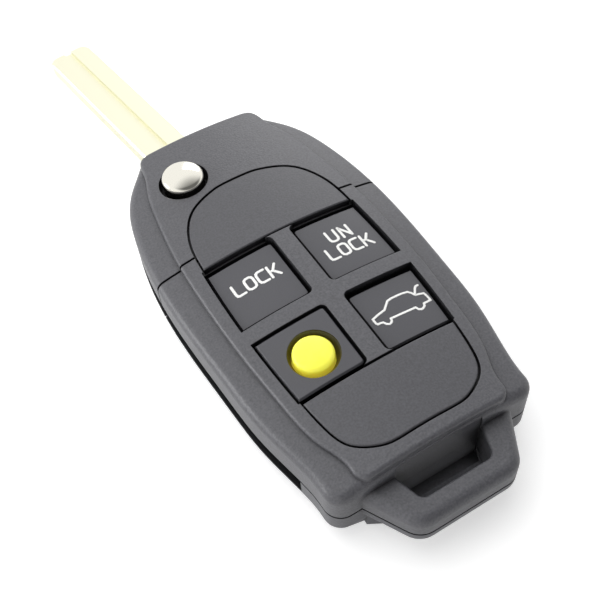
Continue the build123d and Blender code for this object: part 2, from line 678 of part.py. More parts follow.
def build():
    """Every piece of the shell by its node name."""
    top_form = upper_form()
    low_form = lower_form()
    return {
        "head_upper_shell": head_upper_shell(top_form),
        "head_lower_shell": head_lower_shell(low_form),
        "remote_upper_shell": remote_upper_shell(top_form),
        "remote_lower_shell": remote_lower_shell(low_form),
        "upper_trim_panel": trim_panel(UPPER_TRIM_Y, UPPER_TRIM_SIDE, UPPER_TRIM_TOP_Y),
        "lower_trim_panel": trim_panel(LOWER_TRIM_Y, LOWER_TRIM_SIDE, LOWER_TRIM_END_Y),
        "lock_button": key_cap(-1, 1),
        "unlock_button": key_cap(1, 1),
        "trunk_button": key_cap(1, -1),
        "yellow_button_pad": yellow_pad(),
        "yellow_button": yellow_dome(),
        "keypad_membrane": keypad_membrane(),
        "key_blade": turned(key_blade()),
        "blade_hub": turned(blade_hub()),
        "blade_roll_pin": turned(roll_pin()),
        "release_button": release_button(),
        "release_plunger": release_plunger(),
        "flip_spring": flip_spring(),
        "spring_cap": spring_cap(),
        "case_screws": case_screws(),
    }


for node, shape in build().items():
    print(node, round(shape.volume, 2), len(shape.solids()), shape.is_valid)
    export_step(shape, f"parts/{node}.step")
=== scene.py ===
"""Look of the flip key remote shell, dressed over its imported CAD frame."""

import json
import logging
import math
from dataclasses import dataclass, field
from enum import Enum
from typing import Any

import bpy
from mathutils import Matrix, Vector

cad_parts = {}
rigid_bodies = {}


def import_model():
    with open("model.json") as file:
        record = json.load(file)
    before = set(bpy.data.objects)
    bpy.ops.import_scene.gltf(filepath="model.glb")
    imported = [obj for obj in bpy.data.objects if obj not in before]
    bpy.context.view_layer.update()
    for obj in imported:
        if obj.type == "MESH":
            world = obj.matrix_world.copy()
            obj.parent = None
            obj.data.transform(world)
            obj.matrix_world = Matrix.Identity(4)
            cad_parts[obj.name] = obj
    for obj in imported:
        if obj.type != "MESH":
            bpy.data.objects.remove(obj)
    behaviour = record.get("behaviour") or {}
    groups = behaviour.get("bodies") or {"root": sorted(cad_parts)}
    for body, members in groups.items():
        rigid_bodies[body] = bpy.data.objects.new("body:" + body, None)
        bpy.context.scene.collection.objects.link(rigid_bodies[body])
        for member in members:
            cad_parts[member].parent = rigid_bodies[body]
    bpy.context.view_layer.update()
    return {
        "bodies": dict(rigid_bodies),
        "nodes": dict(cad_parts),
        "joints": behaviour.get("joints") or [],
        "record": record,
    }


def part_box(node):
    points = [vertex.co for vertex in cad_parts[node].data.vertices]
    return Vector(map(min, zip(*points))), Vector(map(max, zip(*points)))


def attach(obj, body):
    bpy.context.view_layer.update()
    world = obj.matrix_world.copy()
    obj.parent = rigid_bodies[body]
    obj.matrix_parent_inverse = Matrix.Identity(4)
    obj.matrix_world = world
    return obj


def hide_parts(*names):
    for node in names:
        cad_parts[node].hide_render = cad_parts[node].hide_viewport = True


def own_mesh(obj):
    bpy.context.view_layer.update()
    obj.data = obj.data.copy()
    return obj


LOG = logging.getLogger("flip_key_shell")
MM = 0.001
# Sockets of a colour mix, which have the same names as those of its other modes
MIX_SHARE, MIX_A, MIX_B, MIX_OUT = 0, 6, 7, 2
# Edges sharper than these stay crisp, on the CAD nodes and on the turned caps
SMOOTH_DEG = 32.0
CAP_SMOOTH_DEG = 40.0

Point = tuple[float, float]
Place = tuple[float, float, float]
Stroke = list[Point]
Face = tuple[int, ...]


def linear(hex_colour: str) -> tuple[float, float, float, float]:
    """Turns an sRGB hex colour into the linear colour that the shaders take.

    Args:
        hex_colour: six hex digits, such as "5a5a5c".

    Returns:
        Linear red, green and blue, and an alpha of one.
    """
    parts = [int(hex_colour[i:i + 2], 16) / 255 for i in (0, 2, 4)]
    red, green, blue = (
        p / 12.92 if p <= 0.04045 else ((p + 0.055) / 1.055) ** 2.4 for p in parts)
    return red, green, blue, 1.0


def add_node(
    tree: bpy.types.NodeTree,
    kind: str,
    settings: dict[str | int, Any] | None = None,
    links: dict[str | int, bpy.types.NodeSocket] | None = None,
) -> bpy.types.Node:
    """Adds one node with its settings and its incoming links.

    Args:
        tree: node tree that gets the node.
        kind: Blender's type name of the node.
        settings: values by input name or number, or by property name where no input has it.
        links: sockets that feed this node, by input name or number.

    Returns:
        The new node.
    """
    node = tree.nodes.new(kind)
    for name, value in (settings or {}).items():
        if isinstance(name, int) or name in node.inputs:
            node.inputs[name].default_value = value
        else:
            setattr(node, name, value)
    for name, socket in (links or {}).items():
        tree.links.new(socket, node.inputs[name])
    return node


def new_tree(name: str) -> tuple[bpy.types.Material, bpy.types.NodeTree]:
    """Makes an empty material and gives it with its node tree."""
    material = bpy.data.materials.new(name)
    material.use_nodes = True
    material.node_tree.nodes.clear()
    return material, material.node_tree


def new_piece(name: str, verts: list[Vector], faces: list[Face]) -> bpy.types.Object:
    """Makes a mesh object and links it to the scene.

    Args:
        name: name of the object and of its mesh.
        verts: vertices in metres.
        faces: vertex numbers of each face, counter-clockwise from outside.

    Returns:
        The new object.
    """
    mesh = bpy.data.meshes.new(name)
    mesh.from_pydata(verts, [], faces)
    mesh.validate()
    piece = bpy.data.objects.new(name, mesh)
    bpy.context.scene.collection.objects.link(piece)
    return piece


@dataclass(frozen=True)
class Moulded:
    """Moulded or printed surface: one colour, faint mottling, fine grain, painted shade in
    gaps.

    Attributes:
        name: common name of the material and how its surface was made.
        colour: sRGB hex of the surface.
        mottle: sRGB hex of the faint lighter cloud in it.
        roughness: spread of the gloss.
        ior: index of refraction.
        grain_mm: spacing of the grain in millimetres.
        grain_depth_mm: height of the grain in millimetres.
        grain_strength: share of that height that the light follows.
        reach_mm: how far a gap or corner paints shade on the surface beside it.
        shade: sRGB hex of the painted shade deep in a gap.
        glow: share of the light that enters and comes out nearby.
        glow_mm: how far that light travels inside.
        glow_spread: how far red, green and blue travel, as shares of glow_mm.
        painted_glow: painted light, an emission in the surface's own colour, glowing though it
            is no lamp.
        edge_mm: radius that the light sees on a crisp edge.
        open_from: openness at which the surface has the full painted shade.
        open_to: openness at which it has its own colour.
        inner: lowest and highest corner in millimetres of a box painted all over with the
            shade.
    """

    name: str
    colour: str
    mottle: str
    roughness: float
    ior: float = 1.53
    grain_mm: float = 0.2
    grain_depth_mm: float = 0.01
    grain_strength: float = 0.5
    reach_mm: float = 3.0
    shade: str = "0e0e10"
    glow: float = 0.0
    glow_mm: float = 1.0
    glow_spread: Place = (1.0, 0.9, 0.3)
    painted_glow: float = 0.0
    edge_mm: float = 0.15
    open_from: float = 0.42
    open_to: float = 0.85
    inner: tuple[Place, Place] | None = None

    def build(self) -> bpy.types.Material:
        """Makes the material.

        Returns:
            The finished material.
        """
        material, tree = new_tree(self.name)
        place = add_node(tree, "ShaderNodeTexCoord")
        cloud = add_node(
            tree, "ShaderNodeTexNoise", {"Scale": 1 / (self.grain_mm * MM), "Detail": 2.0},
            {"Vector": place.outputs["Object"]})
        colour = add_node(
            tree, "ShaderNodeMix",
            {"data_type": "RGBA", MIX_A: linear(self.colour), MIX_B: linear(self.mottle)},
            {MIX_SHARE: cloud.outputs["Fac"]})
        # Painted shade: where ambient occlusion finds a gap, crease or corner, the colour goes
        # toward shade
        openness = add_node(
            tree, "ShaderNodeAmbientOcclusion",
            {"samples": 8, "Distance": self.reach_mm * MM})
        depth = add_node(
            tree, "ShaderNodeMapRange", {"From Min": self.open_from, "From Max": self.open_to},
            {"Value": openness.outputs["AO"]})
        share = depth.outputs["Result"]
        # Painted shade: inside the inner box the colour is the shade all over
        if self.inner:
            share = self.outside(tree, place.outputs["Object"], share)
        shaded = add_node(
            tree, "ShaderNodeMix", {"data_type": "RGBA", MIX_A: linear(self.shade)},
            {MIX_SHARE: share, MIX_B: colour.outputs[MIX_OUT]})
        edge = add_node(tree, "ShaderNodeBevel", {"samples": 6, "Radius": self.edge_mm * MM})
        bump = add_node(
            tree, "ShaderNodeBump",
            {"Strength": self.grain_strength, "Distance": self.grain_depth_mm * MM},
            {"Height": cloud.outputs["Fac"], "Normal": edge.outputs["Normal"]})
        # Painted light: the emission in the surface's own colour, set by dye, glows though
        # nothing lights it
        shader = add_node(
            tree, "ShaderNodeBsdfPrincipled",
            {"Roughness": self.roughness, "IOR": self.ior, "Subsurface Weight": self.glow,
             "Subsurface Scale": self.glow_mm * MM, "Subsurface Radius": self.glow_spread,
             "Emission Color": linear(self.colour), "Emission Strength": self.painted_glow},
            {"Base Color": shaded.outputs[MIX_OUT], "Normal": bump.outputs["Normal"]})
        add_node(tree, "ShaderNodeOutputMaterial", None, {"Surface": shader.outputs["BSDF"]})
        return material

    def outside(self, tree: bpy.types.NodeTree, place: bpy.types.NodeSocket,
                share: bpy.types.NodeSocket) -> bpy.types.NodeSocket:
        """Takes a share down to nothing inside the inner box, which is then all painted shade.

        Args:
            tree: node tree of the material.
            place: socket with the place on the object.
            share: socket with the share elsewhere.

        Returns:
            Socket with the share everywhere.
        """
        middle = [(a + b) / 2 * MM for a, b in zip(*self.inner)]
        half = [(b - a) / 2 * MM for a, b in zip(*self.inner)]
        moved = add_node(tree, "ShaderNodeVectorMath", {"operation": "SUBTRACT", 1: middle},
                         {0: place})
        scaled = add_node(tree, "ShaderNodeVectorMath", {"operation": "DIVIDE", 1: half},
                          {0: moved.outputs[0]})
        length = add_node(tree, "ShaderNodeVectorMath", {"operation": "ABSOLUTE"},
                          {0: scaled.outputs[0]})
        axes = add_node(tree, "ShaderNodeSeparateXYZ", None, {0: length.outputs[0]})
        two = add_node(tree, "ShaderNodeMath", {"operation": "MAXIMUM"},
                       {0: axes.outputs[0], 1: axes.outputs[1]})
        three = add_node(tree, "ShaderNodeMath", {"operation": "MAXIMUM"},
                         {0: two.outputs[0], 1: axes.outputs[2]})
        beyond = add_node(tree, "ShaderNodeMath", {"operation": "GREATER_THAN", 1: 1.0},
                          {0: three.outputs[0]})
        result = add_node(tree, "ShaderNodeMath", {"operation": "MULTIPLY"},
                          {0: beyond.outputs[0], 1: share})
        return result.outputs[0]


@dataclass(frozen=True)
class Metal:
    """Plated, milled or drawn metal with fine lines along one direction.

    Attributes:
        name: common name of the metal and how its surface was made.
        colour: sRGB hex of the metal.
        roughness: spread of the reflections.
        line_mm: spacing of the tool marks in millimetres.
        stretch: how much longer than wide the marks are.
        line_depth_mm: depth of the marks in millimetres.
        line_strength: share of that depth that the light follows.
    """

    name: str
    colour: str
    roughness: float
    line_mm: float = 0.1
    stretch: float = 1.0
    line_depth_mm: float = 0.002
    line_strength: float = 0.4

    def build(self) -> bpy.types.Material:
        """Makes the material.

        Returns:
            The finished material.
        """
        material, tree = new_tree(self.name)
        place = add_node(tree, "ShaderNodeTexCoord")
        along = add_node(
            tree, "ShaderNodeMapping", {"Scale": (1.0, 1.0 / self.stretch, 1.0)},
            {"Vector": place.outputs["Object"]})
        marks = add_node(
            tree, "ShaderNodeTexNoise", {"Scale": 1 / (self.line_mm * MM), "Detail": 1.0},
            {"Vector": along.outputs["Vector"]})
        bump = add_node(
            tree, "ShaderNodeBump",
            {"Strength": self.line_strength, "Distance": self.line_depth_mm * MM},
            {"Height": marks.outputs["Fac"]})
        shader = add_node(
            tree, "ShaderNodeBsdfPrincipled",
            {"Base Color": linear(self.colour), "Metallic": 1.0, "Roughness": self.roughness},
            {"Normal": bump.outputs["Normal"]})
        add_node(tree, "ShaderNodeOutputMaterial", None, {"Surface": shader.outputs["BSDF"]})
        return material


class Finish(Enum):
    """Finishes of the key, each named for the real material."""

    # ABS moulded in a spark-eroded tool: dark grey, fine satin sparkle; painted shade in gaps
    # and the blade's channel
    SHELL = Moulded("ABS, spark-textured moulding", "3f3f42", "68686d", 0.36,
                    grain_mm=0.28, grain_depth_mm=0.045, grain_strength=0.9, shade="18181a",
                    inner=((-30.0, -18.3, 3.78), (-7.2, 45.0, 6.72)))
    # ABS in a finer tool: smoother, so the lamps draw soft gradients on the caps
    KEYS = Moulded("ABS, satin moulding", "4b4b4f", "515156", 0.25,
                   grain_mm=0.2, grain_depth_mm=0.004, grain_strength=0.4)
    # ABS panel with a softer grain than the shell
    TRIM = Moulded("ABS, fine-textured moulding", "404043", "5e5e63", 0.37,
                   grain_mm=0.28, grain_depth_mm=0.03, grain_strength=0.7)
    # Yellow ABS, fairly glossy, with a painted glow that lifts its shaded sides and a yellow
    # painted shade in its gaps
    YELLOW = Moulded("ABS, yellow gloss moulding with painted glow", "fff250", "fff860", 0.3,
                     grain_mm=0.6, grain_depth_mm=0.002, grain_strength=0.2,
                     shade="ffe030", glow=1.0, glow_mm=2.5, painted_glow=0.28, reach_mm=0.8)
    # Pad-printed ink: flat white
    PRINT = Moulded("Pad-printed ink, matt white", "f2f2f0", "fafaf8", 0.55,
                    grain_mm=0.2, grain_depth_mm=0.001, grain_strength=0.2, shade="f2f2f0")
    # Silicone rubber: matt black, never seen until the shell is opened
    RUBBER = Moulded("Silicone rubber, moulded matt", "26272a", "2c2d30", 0.7, ior=1.43,
                     grain_mm=0.3, grain_depth_mm=0.004)
    # Acetal: slippery black stem, seen as the dark ring round the button, with painted shade
    # in its gaps
    ACETAL = Moulded("Acetal, black moulding", "38383a", "404042", 0.5, ior=1.48,
                     grain_mm=0.3, grain_depth_mm=0.001, shade="28282a")
    # Zinc casting with bright chrome: mirrors the lamps with soft edges
    CHROME = Metal("Zinc, bright chrome plating", "f4f1e6", 0.1, line_mm=0.6,
                   line_depth_mm=0.001)
    # Nickel-plated brass blank: warm pale metal with marks along the blade
    BLADE = Metal("Brass, satin nickel plating", "fdfbe2", 0.3, line_mm=0.12, stretch=25.0,
                  line_depth_mm=0.003)
    # Sintered barrel with a dull oxide
    BARREL = Metal("Steel, sintered and blackened", "55565a", 0.45, line_mm=0.3)
    # Cold-drawn wire, screws and pins
    STEEL = Metal("Steel, zinc-plated", "b9bcc0", 0.3, line_mm=0.2)


class Dresser:
    """Keeps one material for each finish and lays it on objects."""

    def __init__(self, frame: dict[str, Any]) -> None:
        """Keeps the loaded frame."""
        self.frame = frame
        self.made: dict[Finish, bpy.types.Material] = {}

    def material(self, finish: Finish) -> bpy.types.Material:
        """Gives the finish's material, made once."""
        if finish not in self.made:
            self.made[finish] = finish.value.build()
        return self.made[finish]

    def dress(self, node: str, finish: Finish) -> None:
        """Lays a finish on a CAD node and smooths its curved faces.

        Args:
            node: name of the CAD node.
            finish: finish that it gets.
        """
        piece = self.frame["nodes"][node]
        self.paint(piece, finish)
        piece.data.shade_smooth()
        piece.data.set_sharp_from_angle(angle=math.radians(SMOOTH_DEG))
        LOG.info("%s: %s", node, finish.value.name)

    def paint(self, piece: bpy.types.Object, finish: Finish) -> None:
        """Gives an object one finish all over."""
        piece.data.materials.clear()
        piece.data.materials.append(self.material(finish))


@dataclass
class SeamLip:
    """Lip inside the seam of head and module, which keeps light from passing through it.

    Attributes:
        low: its face toward the key ring, as y in millimetres.
        high: its face toward the blade, as y in millimetres.
        outlines: sections in x and z in millimetres, right, upper left and lower left.
    """

    low: float = 16.23
    high: float = 16.57
    outlines: tuple[tuple[Point, ...], ...] = (
        ((12.1, 1.0), (14.4, 1.0), (17.4, 3.0), (18.1, 3.7), (18.1, 9.8), (17.4, 10.6),
         (12.1, 10.6)),
        ((-12.1, 7.0), (-12.1, 10.6), (-17.4, 10.6), (-18.1, 9.8), (-18.1, 7.0)),
        ((-12.1, 1.0), (-12.1, 3.72), (-18.4, 3.72), (-17.55, 2.98), (-14.55, 1.0)),
    )

    def build(self, dresser: Dresser) -> None:
        """Makes one closed solid for each section.

        Args:
            dresser: gives the finish.
        """
        verts: list[Vector] = []
        faces: list[Face] = []
        for outline in self.outlines:
            first, count = len(verts), len(outline)
            for y in (self.low, self.high):
                verts += [Vector((x, y, z)) * MM for x, z in outline]
            near = [first + i for i in range(count)]
            faces += [tuple(near), tuple(i + count for i in reversed(near))]
            for here, there in zip(near, near[1:] + near[:1]):
                faces.append((here, here + count, there + count, there))
        piece = new_piece("seam_lip", verts, faces)
        dresser.paint(piece, Finish.SHELL)
        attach(piece, "shell")
        LOG.info("seam_lip: %s", Finish.SHELL.value.name)


@dataclass
class CoilSpring:
    """Round-wire spring under the release button.

    Attributes:
        wire: thickness of the wire in millimetres.
        turns: number of coils.
        steps: rings of the mesh on each coil.
        sides: points round the wire.
        press: travel of the button in millimetres; not used.
    """

    wire: float = 0.6
    turns: int = 6
    steps: int = 32
    sides: int = 10
    press: float = 1.5

    def build(self, dresser: Dresser) -> None:
        """Winds the spring where its CAD node is.

        Args:
            dresser: gives the finish.
        """
        low, high = (Vector(corner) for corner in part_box("flip_spring"))
        half = self.wire / 2 * MM
        coil = (high.x - low.x) / 2 - half
        foot = Vector(((low.x + high.x) / 2, (low.y + high.y) / 2, low.z + half))
        rise = high.z - low.z - 2 * half
        lean = math.atan(rise / (2 * math.pi * coil * self.turns))
        verts: list[Vector] = []
        count = self.turns * self.steps
        for i in range(count + 1):
            turn = 2 * math.pi * i / self.steps
            out = Vector((math.cos(turn), math.sin(turn), 0))
            up = Vector((math.sin(turn) * math.sin(lean), -math.cos(turn) * math.sin(lean),
                         math.cos(lean)))
            middle = foot + out * coil + Vector((0, 0, rise * i / count))
            for k in range(self.sides):
                angle = 2 * math.pi * k / self.sides
                verts.append(middle + (out * math.cos(angle) + up * math.sin(angle)) * half)
        faces: list[Face] = []
        for i in range(count):
            for k in range(self.sides):
                here, there = i * self.sides + k, i * self.sides + (k + 1) % self.sides
                faces.append((here, here + self.sides, there + self.sides, there))
        faces.append(tuple(range(self.sides)))
        faces.append(tuple(reversed(range(count * self.sides, (count + 1) * self.sides))))
        piece = new_piece("release_spring", verts, faces)
        piece.data.shade_smooth()
        dresser.paint(piece, Finish.STEEL)
        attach(piece, "shell")
        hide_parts("flip_spring")
        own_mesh(piece)
        LOG.info("release_spring: %s, %d coils", Finish.STEEL.value.name, self.turns)


@dataclass
class TurnedCap:
    """Round button turned about its own axis, which stands for a CAD node.

    Attributes:
        name: name of the piece.
        node: CAD node that it stands for.
        body: body that it rides on.
        finish: finish that it gets.
        radius: radius of the wall in millimetres.
        top: height of the crown's middle in millimetres.
        crown: rise of the crown from the rounded rim to the middle in millimetres.
        edge: radius of the rounded rim in millimetres.
        foot: profile below the wall, as radius and height, from the axis outwards.
        turns: number of sides of the circle.
        steps: number of runs on the rounded rim, and again on the crown.
        rounds: number of tries that fit the rim's end to the slope of the crown.
    """

    name: str
    node: str
    body: str
    finish: Finish
    radius: float
    top: float
    crown: float
    edge: float
    foot: list[Point]
    turns: int = 96
    steps: int = 12
    rounds: int = 8

    def profile(self) -> list[Point]:
        """Gives the section as radius and height, from the underside to the crown."""
        start = self.radius - self.edge
        lean = math.atan(2 * self.crown / start)
        for _ in range(self.rounds):
            start = self.radius - self.edge + self.edge * math.sin(lean)
            lean = math.atan(2 * self.crown / start)
        centre = self.top - self.crown - self.edge * math.cos(lean)
        rim = []
        for i in range(self.steps + 1):
            angle = math.pi / 2 + (lean - math.pi / 2) * i / self.steps
            rim.append((self.radius - self.edge + self.edge * math.sin(angle),
                        centre + self.edge * math.cos(angle)))
        dome = []
        for i in range(1, self.steps):
            away = start * (1 - i / self.steps)
            dome.append((away, self.top - self.crown * (away / start) ** 2))
        return self.foot + rim + dome + [(0.0, self.top)]

    def build(self, dresser: Dresser) -> None:
        """Turns the profile round the node's axis.

        Args:
            dresser: gives the finish.
        """
        low, high = (Vector(corner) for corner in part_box(self.node))
        axis = (low + high) / 2
        verts: list[Vector] = []
        rings: list[list[int]] = []
        for radius, height in self.profile():
            count = 1 if radius == 0 else self.turns
            rings.append(list(range(len(verts), len(verts) + count)))
            for k in range(count):
                angle = 2 * math.pi * k / self.turns
                verts.append(Vector((axis.x + radius * MM * math.cos(angle),
                                     axis.y + radius * MM * math.sin(angle), height * MM)))
        faces: list[Face] = []
        for inner, outer in zip(rings, rings[1:]):
            for k in range(self.turns):
                quad = (inner[k % len(inner)], outer[k % len(outer)],
                        outer[(k + 1) % len(outer)], inner[(k + 1) % len(inner)])
                faces.append(tuple(dict.fromkeys(quad))[::-1])
        piece = new_piece(self.name, verts, faces)
        piece.data.shade_smooth()
        piece.data.set_sharp_from_angle(angle=math.radians(CAP_SMOOTH_DEG))
        dresser.paint(piece, self.finish)
        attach(piece, self.body)
        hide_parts(self.node)
        LOG.info("%s: %s, in place of %s", self.name, self.finish.value.name, self.node)


@dataclass
class Housing:
    """Shells of the blade head and of the remote module, with the two trim panels.

    Attributes:
        finishes: finish of each CAD node.
        lip: lip inside the seam.
    """

    finishes: dict[str, Finish] = field(default_factory=lambda: {
        "head_upper_shell": Finish.SHELL,
        "head_lower_shell": Finish.SHELL,
        "remote_upper_shell": Finish.SHELL,
        "remote_lower_shell": Finish.SHELL,
        "upper_trim_panel": Finish.TRIM,
        "lower_trim_panel": Finish.TRIM,
    })
    lip: SeamLip = field(default_factory=SeamLip)

    def dress(self, dresser: Dresser) -> None:
        """Lays the finishes on the housing's nodes and closes the seam."""
        for node, finish in self.finishes.items():
            dresser.dress(node, finish)
        self.lip.build(dresser)


@dataclass
class Works:
    """Blade, its turning barrel, the release and the parts inside.

    Attributes:
        finishes: finish of each CAD node that is shown as it is.
        spring: spring under the release button.
        release_cap: chrome cap of the release button.
    """

    finishes: dict[str, Finish] = field(default_factory=lambda: {
        "key_blade": Finish.BLADE,
        "blade_hub": Finish.BARREL,
        "blade_roll_pin": Finish.STEEL,
        "case_screws": Finish.STEEL,
        "release_plunger": Finish.ACETAL,
        "spring_cap": Finish.SHELL,
        "keypad_membrane": Finish.RUBBER,
    })
    spring: CoilSpring = field(default_factory=CoilSpring)
    release_cap: TurnedCap = field(default_factory=lambda: TurnedCap(
        "chrome_release_cap", "release_button", "release", Finish.CHROME,
        radius=3.2, top=14.75, crown=0.5, edge=0.75,
        foot=[(0.0, 12.26), (2.7, 12.26), (2.7, 10.41), (3.2, 10.41)]))

    def dress(self, dresser: Dresser) -> None:
        """Lays the finishes on the working parts and makes the spring and the cap."""
        for node, finish in self.finishes.items():
            dresser.dress(node, finish)
        self.spring.build(dresser)
        self.release_cap.build(dresser)


# Block capitals in a unit cell, one list of points for each stroke
GLYPHS: dict[str, list[Stroke]] = {
    "L": [[(0, 1), (0, 0.22), (0.07, 0.06), (0.25, 0), (1, 0)]],
    "O": [[(0.5, 1), (0.3, 1), (0.08, 0.92), (0, 0.75), (0, 0.25), (0.08, 0.08), (0.3, 0),
           (0.7, 0), (0.92, 0.08), (1, 0.25), (1, 0.75), (0.92, 0.92), (0.7, 1), (0.5, 1)]],
    "C": [[(1, 1), (0.32, 1), (0.09, 0.92), (0, 0.75), (0, 0.25), (0.09, 0.08), (0.32, 0),
           (1, 0)]],
    "K": [[(0, 1), (0, 0)], [(0.95, 1), (0.4, 0.52), (0, 0.52)], [(0.4, 0.52), (1, 0)]],
    "U": [[(0, 1), (0, 0.25), (0.09, 0.08), (0.32, 0), (0.68, 0), (0.91, 0.08), (1, 0.25),
           (1, 1)]],
    "N": [[(0, 0), (0, 1)], [(0, 1), (1, 0)], [(1, 0), (1, 1)]],
}


@dataclass
class Legend:
    """Thin printed strokes that follow the crown of a key cap.

    Attributes:
        name: name of the piece.
        node: key cap that carries it.
        body: body that it rides on.
        strokes: centre lines in millimetres, in the frame's x and y.
        width: width of a stroke in millimetres.
        proud: height above the cap in millimetres.
        sunk: depth below the cap in millimetres.
        step: longest stretch of ribbon between two heights read from the cap.
        ends: angles in degrees from the tip at which a round end is cut across.
        mitre: least share of the width across a bend, so that sharp bends don't run out.
    """

    name: str
    node: str
    body: str
    strokes: list[Stroke]
    width: float = 0.4
    proud: float = 0.02
    sunk: float = 0.03
    step: float = 0.5
    ends: tuple[float, ...] = (85.0, 60.0, 35.0, 10.0)
    mitre: float = 0.5

    def build(self, dresser: Dresser) -> None:
        """Makes the legend's solids and lets them ride on the key.

        Args:
            dresser: gives the ink and the cap's surface.
        """
        cap = dresser.frame["nodes"][self.node]
        verts: list[Vector] = []
        faces: list[Face] = []
        for stroke in self.strokes:
            self.add_ribbon(cap, stroke, verts, faces)
        piece = new_piece(self.name, verts, faces)
        dresser.paint(piece, Finish.PRINT)
        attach(piece, self.body)
        LOG.info("%s: %d strokes on %s", self.name, len(self.strokes), self.node)

    def add_ribbon(self, cap: bpy.types.Object, stroke: Stroke, verts: list[Vector],
                   faces: list[Face]) -> None:
        """Adds one ribbon as a closed solid: a ring, or a strip with round ends.

        Args:
            cap: object whose top the ribbon follows.
            stroke: centre line in millimetres.
            verts: vertices so far, extended in place.
            faces: faces so far, extended in place.
        """
        first = len(verts)
        sections = self.sections(stroke)
        ring = stroke[0] == stroke[-1]
        for left, right in sections:
            for x, y in (left, right):
                top = self.cap_height(cap, x, y)
                verts.append(Vector((x * MM, y * MM, top + self.proud * MM)))
                verts.append(Vector((x * MM, y * MM, top - self.sunk * MM)))
        for i in range(len(sections) if ring else len(sections) - 1):
            a = first + 4 * i
            b = first + 4 * ((i + 1) % len(sections))
            faces += [(a, a + 2, b + 2, b), (a + 1, b + 1, b + 3, a + 3),
                      (a, b, b + 1, a + 1), (a + 2, a + 3, b + 3, b + 2)]
        if not ring:
            last = first + 4 * (len(sections) - 1)
            faces += [(first, first + 1, first + 3, first + 2),
                      (last, last + 2, last + 3, last + 1)]

    def sections(self, stroke: Stroke) -> list[tuple[Point, Point]]:
        """Left and right edge points along a stroke, with its round ends if it has ends.

        Args:
            stroke: centre line in millimetres.

        Returns:
            Pairs of points across the ribbon, from its start to its end.
        """
        half = self.width / 2
        corners = [Vector(p) for p in stroke]
        points = corners[:1]
        for here, there in zip(corners, corners[1:]):
            parts = max(1, math.ceil((there - here).length / self.step))
            points += [here.lerp(there, k / parts) for k in range(1, parts + 1)]
        heads = [(points[i + 1] - points[i]).normalized() for i in range(len(points) - 1)]
        out: list[tuple[Point, Point]] = []
        ring = stroke[0] == stroke[-1]
        swing = [] if ring else [math.radians(angle) for angle in self.ends]
        if ring:
            points.pop()
        for angle in swing:
            out.append(self.across(points[0] - heads[0] * half * math.sin(angle), heads[0],
                                   half * math.cos(angle)))
        for i, point in enumerate(points):
            before = heads[i - 1 if i or ring else 0]
            after = heads[min(i, len(heads) - 1)]
            middle = (before + after).normalized()
            stretch = 1 / max(middle.dot(before), self.mitre)
            out.append(self.across(point, middle, half * stretch))
        for angle in reversed(swing):
            out.append(self.across(points[-1] + heads[-1] * half * math.sin(angle), heads[-1],
                                   half * math.cos(angle)))
        return out

    @staticmethod
    def across(point: Vector, heading: Vector, half: float) -> tuple[Point, Point]:
        """Points half a width to the left and to the right of a centre point."""
        side = Vector((-heading.y, heading.x)) * half
        return (point + side)[:], (point - side)[:]

    @staticmethod
    def cap_height(cap: bpy.types.Object, x: float, y: float) -> float:
        """Height of the cap's top at a place in millimetres, in metres."""
        hit, place, _, _ = cap.ray_cast(Vector((x * MM, y * MM, 1.0)), Vector((0, 0, -1)))
        if not hit:
            raise ValueError(f"legend leaves {cap.name} at {x:.2f}, {y:.2f}")
        return place.z


def word(text: str, start: Point, letter: Point, pitch: float) -> list[Stroke]:
    """Strokes of a word in plain block capitals, read along x.

    Args:
        text: capitals that GLYPHS holds.
        start: foot of the first letter's left edge in millimetres.
        letter: width and height of a letter in millimetres.
        pitch: step from letter to letter in millimetres.

    Returns:
        Centre lines in millimetres.
    """
    return [
        [(start[0] + pitch * i + letter[0] * u, start[1] + letter[1] * v) for u, v in glyph]
        for i, capital in enumerate(text) for glyph in GLYPHS[capital]]


